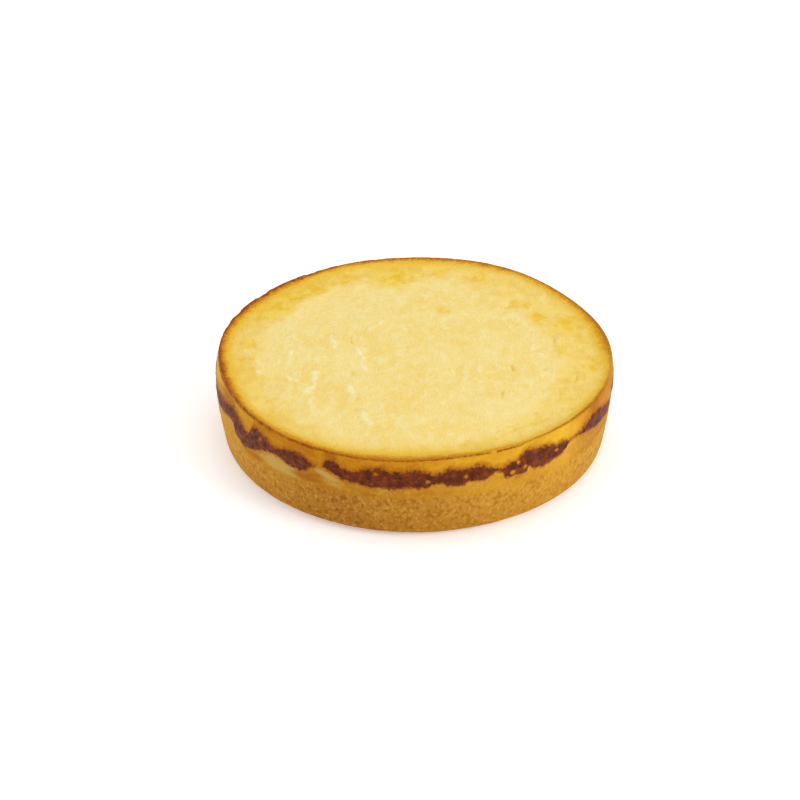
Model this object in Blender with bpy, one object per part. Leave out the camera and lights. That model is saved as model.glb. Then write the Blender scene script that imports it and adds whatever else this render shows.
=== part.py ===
"""A cheese tartlet: a shortcrust case, and the baked fresh cheese that fills it and stands above its lip.

Metres, +Z up. The origin is the middle of the underside, which rests on the table.
An azimuth is an angle round +Z, in degrees, counted from the front (-Y) towards the right (+X).
The tartlet was baked in a round tin, so each solid is a turned profile. Both are then moved by
one and the same settle(), which makes the lip, the rim and the girth as uneven as a baked thing is.
"""

import math

import bmesh
import bpy
from mathutils import Vector, noise

MM = 0.001
TOUCH = 0.01 * MM  # two points that are closer than this are one point

# Driving dimensions
RIM_RADIUS = 50.0 * MM  # the browned rim, where the skin of the filling meets its side
RIM_HEIGHT = 23.0 * MM
BELLY_RADIUS = 50.7 * MM  # the widest girth
BELLY_HEIGHT = 17.0 * MM
FOOT_RADIUS = 45.8 * MM  # the flat underside
HEEL_RADIUS = 49.2 * MM  # where the rounded edge of the underside ends
HEEL_HEIGHT = 3.3 * MM
LIP_HEIGHT = 13.3 * MM  # the pastry's upper edge on the outside
LIP_THICKNESS = 1.1 * MM
LIP_CREST = 0.5 * MM  # the lip is highest this far in from the outside
LIP_ROUND = 0.35 * MM
WALL_THICKNESS = 3.7 * MM  # of the pastry wall just above its floor
FLOOR_THICKNESS = 4.2 * MM
FLOOR_CORNER = 3.0 * MM  # rounded inside corner of the case
GAP = 0.3 * MM  # between the pastry and the filling
SKIN_HEIGHT = 21.6 * MM  # the sunken middle of the top
SINK_WIDTH = 6.5 * MM  # the skin drops from the rim over this width

# How the curves of the profile bend: the higher the power, the later the curve leaves its tangent
TAPER_BEND = 1.6  # from the belly down to the heel
SHOULDER_BEND = 2.2  # from the belly up to the rim
SINK_BEND = 2.4  # from the rim down to the middle of the skin

# How finely the profiles are divided
SEGMENTS = 96  # round every turned solid
HEEL_POINTS = 6
CORNER_POINTS = 4
WALL_RINGS = 5
SIDE_RINGS = 8
SKIN_RINGS = 18
SKIN_CROWDING = 1.25  # above 1, the rings of the skin lie closer together near the rim
FLOOR_SHARES = (0.0, 0.33, 0.67)  # the rings of a flat floor, as shares of the foot's radius

# Unevenness, as (height or share, waves round the tartlet, phase in degrees)
LIP_WAVES = (
    (0.75 * MM, 1, -100),
    (0.30 * MM, 3, 40),
    (0.26 * MM, 5, 170),
    (0.20 * MM, 9, 20),
)
RIM_WAVES = ((0.26 * MM, 3, -113), (0.24 * MM, 5, -40), (0.08 * MM, 8, -107))
RIM_CALM = 0.3  # the waves of the rim shrink to this share at the back
RIM_LEAN = ((0.22 * MM, 1, -80), (0.14 * MM, 4, 60), (0.10 * MM, 7, 0))  # the rim leans out by this
LEAN_START = 0.75  # the lean fades in over the outer part of the skin, from this share of its radius
GIRTH_WAVES = ((0.0040, 2, 35), (0.0022, 4, 80), (0.0012, 7, 10))

# Scorched patches, where the filling crept over the lip and burnt on the tin:
# (azimuth, half width in degrees, lowest height, highest height)
SCORCHES = (
    (-70, 9, 16.6 * MM, 20.8 * MM),
    (-54, 8, 14.0 * MM, 20.2 * MM),
    (-35, 8, 15.0 * MM, 20.6 * MM),
    (-15, 13, 15.1 * MM, 20.7 * MM),
    (8, 13, 15.4 * MM, 20.7 * MM),
    (34, 13, 14.8 * MM, 20.9 * MM),
    (62, 10, 15.4 * MM, 21.2 * MM),
    (88, 11, 15.6 * MM, 20.4 * MM),
    (113, 10, 14.6 * MM, 20.6 * MM),
    (139, 12, 15.4 * MM, 20.9 * MM),
    (166, 11, 14.9 * MM, 20.3 * MM),
    (193, 13, 15.3 * MM, 20.8 * MM),
    (219, 9, 14.4 * MM, 20.4 * MM),
    (243, 11, 15.2 * MM, 20.9 * MM),
    (268, 10, 15.7 * MM, 20.5 * MM),
)
SCORCH_CORE = 0.55  # a patch is fully burnt out to this share of its half sizes
SCORCH_EDGE = 1.1  # and not burnt beyond this share
SCORCH_RELIEF = 0.22 * MM  # the scorched patches stand proud by this
SCORCHED = 0.4  # a face that is burnt by more than this has the dark finish
STEEP = 0.7  # a face of the side has a normal whose upward part is less than this

# The pale inner skin ends in a low step, its shore, at this distance from the middle
SHORE_RADIUS = 41.5 * MM
SHORE_WAVES = ((3.4 * MM, 1, 140), (1.6 * MM, 3, 10), (1.3 * MM, 5, 70), (0.9 * MM, 8, 0))
SHORE_STEP = 0.28 * MM
SHORE_WIDTH = 2.5 * MM
SWELL = 0.30 * MM  # height of the broad swells on the skin
SWELL_SIZE = 17.0 * MM
RUMPLE = 0.16 * MM  # height of the shorter rumples
RUMPLE_SIZE = 6.5 * MM
RUMPLE_SHIFT = Vector((3.1, 7.7, 0))  # so that swells and rumples don't rise at the same places


def ramp(value, low, high):
    """0 below low, 1 above high, and a smooth rise between them."""
    share = min(1.0, max(0.0, (value - low) / (high - low)))
    return share * share * (3 - 2 * share)


def between(start, end, count):
    """count values from start to end, both included."""
    return [start + (end - start) * i / (count - 1) for i in range(count)]


def waves(terms, azimuth):
    return sum(size * math.cos(math.radians(count * azimuth + phase)) for size, count, phase in terms)


def azimuth_of(point):
    return math.degrees(math.atan2(point.x, -point.y))


def wall_radius(height):
    """Radius of the tartlet's outside above its rounded lower edge: a slight taper and a shoulder."""
    if height < BELLY_HEIGHT:
        share = (BELLY_HEIGHT - height) / (BELLY_HEIGHT - HEEL_HEIGHT)
        return BELLY_RADIUS - (BELLY_RADIUS - HEEL_RADIUS) * share**TAPER_BEND
    share = (height - BELLY_HEIGHT) / (RIM_HEIGHT - BELLY_HEIGHT)
    return BELLY_RADIUS - (BELLY_RADIUS - RIM_RADIUS) * share**SHOULDER_BEND


def case_radius(height):
    """Radius of the inside of the pastry wall, which thins towards the lip."""
    share = ramp(height, FLOOR_THICKNESS, LIP_HEIGHT)
    thickness = WALL_THICKNESS + (LIP_THICKNESS - WALL_THICKNESS) * share
    return wall_radius(height) - thickness


def skin_height(radius):
    """The skin drops steeply from the rim, then runs almost level to the middle."""
    inward = min(1.0, (RIM_RADIUS - radius) / SINK_WIDTH)
    return SKIN_HEIGHT + (RIM_HEIGHT - SKIN_HEIGHT) * (1 - inward) ** SINK_BEND


def heel():
    """The rounded lower edge, a quarter of an ellipse from the underside to the wall."""
    width = HEEL_RADIUS - FOOT_RADIUS
    turns = between(0, math.pi / 2, HEEL_POINTS)
    return [(FOOT_RADIUS + width * math.sin(t), HEEL_HEIGHT * (1 - math.cos(t))) for t in turns]


def inner_corner(clearance):
    """The rounded corner between the floor and the wall of the case, moved in by clearance."""
    middle_z = FLOOR_THICKNESS + FLOOR_CORNER
    middle_r = case_radius(middle_z) - FLOOR_CORNER
    radius = FLOOR_CORNER - clearance
    turns = between(math.pi / 2, 0, CORNER_POINTS)
    return [(middle_r + radius * math.cos(t), middle_z - radius * math.sin(t)) for t in turns]


def inner_wall(clearance):
    """The inside of the pastry wall, from the top of its rounded corner up to just below the lip."""
    heights = between(FLOOR_THICKNESS + FLOOR_CORNER, LIP_HEIGHT - 2 * LIP_ROUND, CORNER_POINTS)
    return [(case_radius(z) - clearance, z) for z in heights[1:-1]]


def case_profile():
    """Half section of the pastry case, from the middle of its underside out, up, over the lip and in."""
    underside = [(FOOT_RADIUS * share, 0) for share in FLOOR_SHARES]
    outside = [(wall_radius(z), z) for z in between(HEEL_HEIGHT, LIP_HEIGHT - LIP_ROUND, WALL_RINGS + 1)]
    crest = (wall_radius(LIP_HEIGHT) - LIP_CREST, LIP_HEIGHT)
    lip = [crest, (case_radius(LIP_HEIGHT), LIP_HEIGHT - LIP_ROUND)]
    floor = [(FOOT_RADIUS * share, FLOOR_THICKNESS) for share in FLOOR_SHARES[::-1]]
    return underside + heel() + outside[1:] + lip + inner_wall(0)[::-1] + inner_corner(0)[::-1] + floor


def filling_profile():
    """Half section of the filling, from the middle of the case's floor out, over the lip, up and in."""
    floor = [(FOOT_RADIUS * share, FLOOR_THICKNESS + GAP) for share in FLOOR_SHARES]
    over_lip = [
        (case_radius(LIP_HEIGHT) - GAP, LIP_HEIGHT),
        (wall_radius(LIP_HEIGHT) - LIP_CREST, LIP_HEIGHT + GAP),
    ]
    outside = [(wall_radius(z), z) for z in between(LIP_HEIGHT + GAP, RIM_HEIGHT, SIDE_RINGS + 1)]
    shares = between(0, 1, SKIN_RINGS + 1)[1:]
    rings = [RIM_RADIUS * (1 - share**SKIN_CROWDING) for share in shares]
    skin = [(radius, skin_height(radius)) for radius in rings]
    return floor + inner_corner(GAP) + inner_wall(GAP) + over_lip + outside + skin


def settle(point):
    """One map of space for both solids, so that what fits before it still fits after it."""
    azimuth = azimuth_of(point)
    radius = math.hypot(point.x, point.y)
    below_lip = ramp(point.z, FLOOR_THICKNESS, LIP_HEIGHT - GAP)
    above_lip = ramp(point.z, LIP_HEIGHT + GAP, RIM_HEIGHT)
    at_rim = ramp(point.z, BELLY_HEIGHT, RIM_HEIGHT) * ramp(radius, RIM_RADIUS * LEAN_START, RIM_RADIUS)
    frontness = (1 + math.cos(math.radians(azimuth))) / 2
    liveliness = RIM_CALM + (1 - RIM_CALM) * frontness
    spread = 1 + waves(GIRTH_WAVES, azimuth) + at_rim * waves(RIM_LEAN, azimuth) / RIM_RADIUS
    lip_rise = below_lip * (1 - above_lip) * waves(LIP_WAVES, azimuth)
    rim_rise = at_rim * liveliness * waves(RIM_WAVES, azimuth)
    return Vector((point.x * spread, point.y * spread, point.z + lip_rise + rim_rise))


def scorch(azimuth, height):
    """1 in the middle of a scorched patch, 0 outside it."""
    strongest = 0.0
    for middle, half_width, low, high in SCORCHES:
        turn = (azimuth - middle + 180) % 360 - 180
        across = turn / half_width
        along = (height - (low + high) / 2) / ((high - low) / 2)
        strongest = max(strongest, 1 - ramp(math.hypot(across, along), SCORCH_CORE, SCORCH_EDGE))
    return strongest


def skin_relief(point):
    """The step at the shore of the pale skin, and the swells and rumples inside it."""
    radius = math.hypot(point.x, point.y)
    shore = SHORE_RADIUS + waves(SHORE_WAVES, azimuth_of(point))
    step = SHORE_STEP * (1 - ramp(radius, shore - SHORE_WIDTH, shore + SHORE_WIDTH))
    flat = Vector((point.x, point.y, 0))
    swell = SWELL * noise.noise(flat / SWELL_SIZE)
    rumple = RUMPLE * noise.noise(flat / RUMPLE_SIZE + RUMPLE_SHIFT)
    inside_rim = 1 - ramp(radius, RIM_RADIUS - SINK_WIDTH, RIM_RADIUS)
    return inside_rim * (step + swell + rumple)


def turned(name, profile):
    """A solid of revolution about Z, from a half section whose two ends lie on the axis."""
    mesh = bpy.data.meshes.new(name)
    shape = bmesh.new()
    points = [shape.verts.new((0, -radius, height)) for radius, height in profile]
    chain = [shape.edges.new(pair) for pair in zip(points, points[1:])]
    bmesh.ops.spin(
        shape,
        geom=points + chain,
        cent=(0, 0, 0),
        axis=(0, 0, 1),
        angle=math.tau,
        steps=SEGMENTS,
        use_merge=True,
    )
    bmesh.ops.remove_doubles(shape, verts=shape.verts, dist=TOUCH)
    bmesh.ops.recalc_face_normals(shape, faces=shape.faces)
    shape.to_mesh(mesh)
    shape.free()
    made = bpy.data.objects.new(name, mesh)
    bpy.context.scene.collection.objects.link(made)
    mesh.shade_smooth()
    return made


def baked(name, colour, roughness):
    """A matt baked finish."""
    made = bpy.data.materials.new(name)
    made.use_nodes = True
    surface = made.node_tree.nodes["Principled BSDF"]
    surface.inputs["Base Color"].default_value = (*colour, 1)
    surface.inputs["Roughness"].default_value = roughness
    surface.inputs["Metallic"].default_value = 0
    return made


def pastry_case():
    """The shortcrust cup, pressed into the tin by hand, so that its lip wanders up and down."""
    case = turned("pastry_case", case_profile())
    for vertex in case.data.vertices:
        vertex.co = settle(vertex.co)
    case.data.materials.append(baked("golden shortcrust", (0.53, 0.27, 0.06), 0.8))
    return case


def cheese_filling():
    """The baked cheese: a pale sunken skin inside a browned rim, and a side scorched by the tin."""
    filling = turned("cheese_filling", filling_profile())
    for vertex in filling.data.vertices:
        point = vertex.co
        radius = math.hypot(point.x, point.y)
        in_case = point.z < LIP_HEIGHT + GAP / 2
        if radius > RIM_RADIUS - TOUCH and not in_case:
            proud = 1 + SCORCH_RELIEF * scorch(azimuth_of(point), point.z) / radius
            point = Vector((point.x * proud, point.y * proud, point.z))
        elif point.z > BELLY_HEIGHT:
            point = point + Vector((0, 0, skin_relief(point)))
        vertex.co = settle(point)
    finishes = (
        baked("pale cheese skin", (0.89, 0.66, 0.22), 0.5),
        baked("golden cheese side", (0.60, 0.28, 0.03), 0.45),
        baked("scorched cheese", (0.13, 0.035, 0.015), 0.6),
    )
    for finish in finishes:
        filling.data.materials.append(finish)
    for face in filling.data.polygons:
        radius = math.hypot(face.center.x, face.center.y)
        on_side = radius > RIM_RADIUS - LIP_CREST and abs(face.normal.z) < STEEP
        burnt = scorch(azimuth_of(face.center), face.center.z) > SCORCHED
        face.material_index = (2 if burnt else 1) if on_side else 0
    return filling


for left_over in list(bpy.data.objects):
    bpy.data.objects.remove(left_over)
pastry_case()
cheese_filling()
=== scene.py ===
# %% [markdown]
# # A cheese tartlet, dressed
# A round tartlet of baked fresh cheese in a shortcrust case, about 100 mm across. The packed model
# holds its two solids at their real size: `pastry_case` and `cheese_filling`. This lesson gives each of
# them a fine surface and a finish. It makes a sandy crust with a ragged lip, and a pale wrinkled skin
# inside a browned rim, over a side that the tin has scorched in patches.
#
# Lengths are in metres, and in mm where a comment says so. An azimuth is an angle round the upright
# axis, in degrees, counted from the front (-Y) towards the right (+X).

# %% The frame that everything is fitted to
import bisect
import math
import random

import bpy
from mathutils import Matrix, Vector, noise


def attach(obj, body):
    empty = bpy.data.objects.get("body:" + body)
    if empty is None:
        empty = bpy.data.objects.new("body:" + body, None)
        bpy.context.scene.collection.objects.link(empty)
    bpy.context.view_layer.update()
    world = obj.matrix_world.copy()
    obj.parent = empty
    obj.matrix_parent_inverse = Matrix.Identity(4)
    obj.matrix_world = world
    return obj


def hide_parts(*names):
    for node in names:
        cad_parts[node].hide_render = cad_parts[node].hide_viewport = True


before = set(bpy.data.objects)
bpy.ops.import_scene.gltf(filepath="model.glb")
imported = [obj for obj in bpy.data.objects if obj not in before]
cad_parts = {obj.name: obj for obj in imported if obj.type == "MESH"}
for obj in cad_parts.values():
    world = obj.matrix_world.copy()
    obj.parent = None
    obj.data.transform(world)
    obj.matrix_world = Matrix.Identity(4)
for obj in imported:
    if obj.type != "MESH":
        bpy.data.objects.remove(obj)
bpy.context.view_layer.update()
scene = bpy.context.scene
MM = 0.001
print("solids:", sorted(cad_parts))

# %% [markdown]
# ## The camera
# A long lens far away keeps the round rim a clean ellipse, as in a catalogue. The camera looks down at
# about 32 degrees from the front. It is turned to its target instead of being shifted, and it has a
# slight roll, because the tartlet doesn't stand quite level in the view.

# %% Place the camera
CAMERA_AIM = Vector((-3.58, 0, 8.32)) * MM  # this point is in the middle of the view
CAMERA_DISTANCE = 0.6
CAMERA_ELEVATION = math.radians(32.05)
CAMERA_ROLL = math.radians(0.39)
CAMERA_LENS = 105.1  # millimetres, on a sensor 36 mm wide

backward = Vector((0, -math.cos(CAMERA_ELEVATION), math.sin(CAMERA_ELEVATION)))
lens = bpy.data.cameras.new("camera")
lens.lens = CAMERA_LENS
lens.sensor_width = 36
camera = bpy.data.objects.new("camera", lens)
facing = (-backward).to_track_quat("-Z", "Y").to_matrix().to_4x4()
roll = Matrix.Rotation(CAMERA_ROLL, 4, "Z")
camera.matrix_world = Matrix.Translation(CAMERA_AIM + backward * CAMERA_DISTANCE) @ facing @ roll
scene.collection.objects.link(camera)
scene.camera = camera
print("camera at", [round(c, 3) for c in camera.matrix_world.translation])

# %% [markdown]
# ## The forms of the two solids
# Both solids are turned profiles that one function, `settle`, then makes uneven. The fine pieces repeat
# those profiles from the same driving dimensions, so that they stay in the place of the solids. One
# could also subdivide the solids themselves, but their long thin triangles would show in fine relief.

# %% Driving dimensions, the same as in the solids
RIM_RADIUS = 50.0 * MM  # the browned rim, where the skin of the filling meets its side
RIM_HEIGHT = 23.0 * MM
BELLY_RADIUS = 50.7 * MM  # the widest girth
BELLY_HEIGHT = 17.0 * MM
FOOT_RADIUS = 45.8 * MM  # the flat underside
HEEL_RADIUS = 49.2 * MM  # where the rounded edge of the underside ends
HEEL_HEIGHT = 3.3 * MM
LIP_HEIGHT = 13.3 * MM  # the pastry's upper edge on the outside
LIP_THICKNESS = 1.1 * MM
WALL_THICKNESS = 3.7 * MM
FLOOR_THICKNESS = 4.2 * MM
FLOOR_CORNER = 3.0 * MM
GAP = 0.3 * MM
SKIN_HEIGHT = 21.6 * MM  # the sunken middle of the top
SINK_WIDTH = 6.5 * MM
TAPER_BEND = 1.6
SHOULDER_BEND = 2.2
SINK_BEND = 2.4

# Unevenness, as (height or share, waves round the tartlet, phase in degrees)
LIP_WAVES = (
    (0.75 * MM, 1, -100),
    (0.30 * MM, 3, 40),
    (0.26 * MM, 5, 170),
    (0.20 * MM, 9, 20),
)
RIM_WAVES = ((0.26 * MM, 3, -113), (0.24 * MM, 5, -40), (0.08 * MM, 8, -107))
RIM_CALM = 0.3  # the waves of the rim shrink to this share at the back
RIM_LEAN = ((0.22 * MM, 1, -80), (0.14 * MM, 4, 60), (0.10 * MM, 7, 0))
LEAN_START = 0.75  # the lean fades in over the skin from this share of the rim's radius
GIRTH_WAVES = ((0.0040, 2, 35), (0.0022, 4, 80), (0.0012, 7, 10))
print("the tartlet is", RIM_HEIGHT / MM, "mm high and", 2 * RIM_RADIUS / MM, "mm across the rim")

# %% Steps, rows and waves
def ramp(value, low, high):
    """0 below low, 1 above high, and a smooth rise between them."""
    share = min(1.0, max(0.0, (value - low) / (high - low)))
    return share * share * (3 - 2 * share)


def between(start, end, count):
    """count values from start to end, both included."""
    return [start + (end - start) * i / (count - 1) for i in range(count)]


def waves(terms, azimuth):
    """The sum of some waves round the tartlet, at an azimuth."""
    return sum(size * math.cos(math.radians(count * azimuth + phase)) for size, count, phase in terms)


print("a ramp at its start, a quarter on and at its end:", ramp(0, 0, 4), ramp(1, 0, 4), ramp(4, 0, 4))

# %% The turned profile, before it is made uneven
def wall_radius(height):
    if height < BELLY_HEIGHT:
        share = (BELLY_HEIGHT - height) / (BELLY_HEIGHT - HEEL_HEIGHT)
        return BELLY_RADIUS - (BELLY_RADIUS - HEEL_RADIUS) * share**TAPER_BEND
    share = (height - BELLY_HEIGHT) / (RIM_HEIGHT - BELLY_HEIGHT)
    return BELLY_RADIUS - (BELLY_RADIUS - RIM_RADIUS) * share**SHOULDER_BEND


def skin_height(radius):
    inward = min(1.0, (RIM_RADIUS - radius) / SINK_WIDTH)
    return SKIN_HEIGHT + (RIM_HEIGHT - SKIN_HEIGHT) * (1 - inward) ** SINK_BEND


print("radius at foot, belly, rim in mm:", FOOT_RADIUS / MM, BELLY_RADIUS / MM, RIM_RADIUS / MM)

# %% The map that makes both pieces uneven
def azimuth_of(point):
    return math.degrees(math.atan2(point.x, -point.y))


def settle(point):
    """The same map of space as the solids went through."""
    azimuth = azimuth_of(point)
    radius = math.hypot(point.x, point.y)
    below_lip = ramp(point.z, FLOOR_THICKNESS, LIP_HEIGHT - GAP)
    above_lip = ramp(point.z, LIP_HEIGHT + GAP, RIM_HEIGHT)
    at_rim = ramp(point.z, BELLY_HEIGHT, RIM_HEIGHT) * ramp(radius, RIM_RADIUS * LEAN_START, RIM_RADIUS)
    frontness = (1 + math.cos(math.radians(azimuth))) / 2
    liveliness = RIM_CALM + (1 - RIM_CALM) * frontness
    spread = 1 + waves(GIRTH_WAVES, azimuth) + at_rim * waves(RIM_LEAN, azimuth) / RIM_RADIUS
    lip_rise = below_lip * (1 - above_lip) * waves(LIP_WAVES, azimuth)
    rim_rise = at_rim * liveliness * waves(RIM_WAVES, azimuth)
    return Vector((point.x * spread, point.y * spread, point.z + lip_rise + rim_rise))


print("the rim at the front stands at", round(settle(Vector((0, -RIM_RADIUS, RIM_HEIGHT))).z / MM, 2), "mm")

# %% [markdown]
# ## What changes round the tartlet is read from short tables
# The oven was hotter on one side, so the browning, the golden zone and the scorch differ all the way
# round. Waves would do for a vague unevenness. Here each of them is a table of a few azimuths with
# what is found there, and `reader` turns a table into a function that runs straight between the rows.

# %% Read a table at any azimuth
def reader(table):
    """A function of azimuth that gives the values of a table, straight between its rows."""
    starts = [row[0] for row in table]

    def read(azimuth):
        turned_to = (azimuth - starts[0]) % 360 + starts[0]
        i = bisect.bisect_right(starts, turned_to) - 1
        row, after = table[i], table[(i + 1) % len(table)]
        share = (turned_to - row[0]) / ((after[0] - row[0]) % 360)
        return [a + (b - a) * share for a, b in zip(row[1:], after[1:])]

    return read


# (azimuth, how dark the very rim is, where 1 is brown, how far the browning reaches inwards in mm)
browning_at = reader((
    (-180, 0.95, 1.15), (-160, 1.0, 0.95), (-140, 1.25, 1.2), (-120, 1.35, 1.35), (-100, 1.1, 1.35),
    (-80, 1.25, 1.6), (-68, 1.1, 1.6), (-58, 0.75, 1.7), (-40, 0.7, 2.4), (-22, 0.95, 2.5),
    (-10, 0.95, 3.4), (8, 0.9, 3.4), (20, 0.65, 2.6), (30, 0.6, 2.1), (40, 0.6, 2.3), (50, 0.6, 2.1),
    (60, 0.8, 1.7), (72, 0.55, 1.5), (84, 0.5, 1.5), (96, 0.75, 2.4), (110, 0.8, 1.7), (130, 0.8, 1.2),
    (145, 0.75, 1.1), (160, 0.95, 1.2),
))
# (azimuth, how far the golden zone reaches in from the rim in mm, how golden it is from 0 to 1)
golden_at = reader((
    (-180, 12, 0.75), (-172, 14.5, 0.85), (-165, 13, 0.6), (-158, 9.5, 0.6), (-148, 10.5, 0.8),
    (-138, 11, 0.9), (-131, 9.5, 1.0), (-122, 12, 1.0), (-114, 10, 0.8), (-106, 11, 0.4), (-95, 11, 0.4),
    (-84, 10, 0.8), (-70, 10, 0.7), (-60, 10, 0.6), (-45, 10, 0.6), (-30, 9, 0.5), (-12, 8, 0.5),
    (3, 9, 0.75), (15, 8.5, 0.65), (28, 9, 0.5), (40, 11, 0.5), (52, 12, 0.5), (65, 13, 0.55),
    (80, 13, 0.5), (95, 14, 0.5), (108, 15, 0.55), (120, 14.5, 0.5), (135, 15, 0.45), (150, 13, 0.45),
    (165, 11, 0.5),
))
# (azimuth, how light the cheese's side is from 0 to 1, partly browning and partly painted light and shade,
#  how light the pastry is, which is painted light and shade, how far below the lip the film of cheese
#  on the pastry ends in mm, how much painted sheen the scorch gets)
tone_and_painted_light_at = reader((
    (-75, 0.6, 0.85, 2.0, 1.0), (-60, 0.45, 0.75, 2.0, 1.0), (-45, 0.14, 0.5, 2.2, 0.8),
    (-36, 0.04, 0.25, 2.0, 0.6), (-28, 0.04, 0.1, 1.2, 0.4), (-20, 0.1, 0.0, 1.2, 0.2),
    (-5, 0.1, 0.2, 0.9, 0.2), (5, 0.28, 0.35, 0.7, 0.2), (15, 0.5, 0.45, 0.9, 0.25),
    (25, 0.56, 0.6, 1.3, 0.3), (35, 0.5, 0.7, 1.7, 0.5), (46, 0.88, 0.85, 2.1, 0.4),
    (55, 0.18, 0.82, 2.1, 0.5), (66, 0.0, 0.8, 2.0, 0.8), (75, 0.0, 0.75, 1.8, 0.9),
    (100, 0.3, 0.6, 1.4, 0.5), (150, 0.5, 0.4, 1.2, 0.2), (180, 0.3, 0.5, 1.5, 0.5),
    (220, 0.5, 0.4, 1.2, 0.2), (260, 0.5, 0.6, 1.6, 0.7),
))
print("browning at the front and at the left:", browning_at(0), browning_at(-90))

# %% [markdown]
# ## The seam between pastry and cheese
# In a real tartlet the pastry thins out to nothing, and the cheese bakes onto its ragged edge, so no
# line shows between them. The solids keep a gap there. Here the pastry ends in a feather that is
# thinner than a hair, and its very edge dips under the surface of the cheese at so flat an angle that
# the two look like one skin. `seam_radius` is the face between the two.

# %% The face between the two pieces
SIDE_INSET = 0.10 * MM  # the side lies this far inside the turned form, to leave room for the scorch
RAGGED = 0.45 * MM  # the pastry's edge goes up and down by this
RAGGED_SIZE = 3.4 * MM
FEATHER = 0.02 * MM  # thickness of the pastry near its edge
FEATHER_HEIGHT = 0.6 * MM
THINNED = 2.0 * MM  # this far below its edge the pastry has its full thickness
HAIR = 0.02 * MM


def edge_height(azimuth):
    """Height of the pastry's ragged edge."""
    turn = math.radians(azimuth)
    along = Vector((math.sin(turn), math.cos(turn), 0)) * BELLY_RADIUS
    return LIP_HEIGHT + RAGGED * noise.fractal(along / RAGGED_SIZE, 1.0, 2.0, 3)


def seam_radius(height, edge=LIP_HEIGHT):
    """Radius of the face between pastry and cheese, where the pastry's edge is at the height edge."""
    share = ramp(height, FLOOR_THICKNESS, LIP_HEIGHT)
    full = WALL_THICKNESS + (LIP_THICKNESS - WALL_THICKNESS) * share
    thickness = FEATHER * ramp(edge - height, 0, FEATHER_HEIGHT)
    thickness += (full - FEATHER) * ramp(edge - height, FEATHER_HEIGHT, THINNED)
    return wall_radius(height) - SIDE_INSET - thickness


print("the pastry's edge at the front is at", round(edge_height(0) / MM, 2), "mm")

# %% [markdown]
# ## A turned mesh whose rings get coarser towards the middle
# A lathe makes every ring with the same number of points, which crowds them at the middle of the top.
# A remesh would even them out, but it rounds off the rim. Here each ring has its own number of points,
# and a ring may have twice or half as many as its neighbour, so that the points stay about as far
# apart everywhere. The faces stay in order and all point outwards.

# %% Rings and the faces between them
def ring_faces(lower, upper):
    """Triangles and quads between two rings; one ring may have twice the points of the other."""
    few = min(len(lower), len(upper))
    faces = []
    for i in range(few):
        j = (i + 1) % few
        if len(lower) == len(upper):
            faces.append((lower[i], lower[j], upper[j], upper[i]))
        elif len(lower) > len(upper):
            a, b, c = lower[2 * i], lower[2 * i + 1], lower[(2 * i + 2) % len(lower)]
            faces += [(a, b, upper[i]), (b, upper[j], upper[i]), (b, c, upper[j])]
        else:
            a, b, c = upper[2 * i], upper[2 * i + 1], upper[(2 * i + 2) % len(upper)]
            faces += [(lower[i], b, a), (lower[i], lower[j], b), (lower[j], c, b)]
    return faces


def halve_towards(counts):
    """The same counts, but no ring has more than twice the points of the one before it or after it."""
    for _ in range(2):
        for i in range(1, len(counts)):
            counts[i] = min(counts[i], 2 * counts[i - 1])
        counts = counts[::-1]
    return counts


print("a step from 8 points to 4 has", len(ring_faces(list(range(8)), list(range(8, 12)))), "faces")

# %% Turn a profile into a closed mesh with a note of each point's place
def turned(name, profile, finish_point):
    """A closed piece. profile holds (radius, height, points in the ring) from axis to axis.

    finish_point takes a point of the profile, turned but not settled, and returns its final place and
    a dictionary of marks: numbers that the finish of the piece reads later, one for each point.
    """
    counts = halve_towards([count for _, _, count in profile])
    places = []
    marks = []
    rings = []
    for (radius, height, _), count in zip(profile, counts):
        ring = []
        for i in range(count):
            turn = math.tau * i / count
            point = Vector((radius * math.sin(turn), -radius * math.cos(turn), height))
            place, noted = finish_point(point)
            ring.append(len(places))
            places.append(place)
            marks.append(noted)
        rings.append(ring)
    first, last = len(places), len(places) + 1
    places += [settle(Vector((0, 0, profile[0][1]))), settle(Vector((0, 0, profile[-1][1])))]
    marks += [marks[rings[0][0]], marks[rings[-1][0]]]
    start, end = rings[0], rings[-1]
    faces = [(first, start[(i + 1) % len(start)], start[i]) for i in range(len(start))]
    for lower, upper in zip(rings, rings[1:]):
        faces += ring_faces(lower, upper)
    faces += [(end[i], end[(i + 1) % len(end)], last) for i in range(len(end))]
    return mesh_piece(name, places, faces, marks)


def mesh_piece(name, places, faces, marks):
    mesh = bpy.data.meshes.new(name)
    mesh.from_pydata(places, [], faces)
    for mark in marks[0]:
        layer = mesh.attributes.new(mark, "FLOAT", "POINT")
        layer.data.foreach_set("value", [noted[mark] for noted in marks])
    mesh.validate()
    mesh.shade_smooth()
    piece = bpy.data.objects.new(name, mesh)
    scene.collection.objects.link(piece)
    triangles = sum(len(face) - 2 for face in faces)
    print(name, "has", len(places), "points and", triangles, "triangles")
    return piece


# %% [markdown]
# ## The scorched band
# Where the filling crept over the lip it burnt on the hot tin, in a row of dark blots round the side.
# Painting them as a picture would fix them to a grid of pixels. Here the scorch is a band whose lower
# and upper edges wander, given by their heights at some azimuths. Where the lower edge is above the
# upper one there is a gap. The finish adds noise to the distance from the edges, which frays them.

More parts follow.
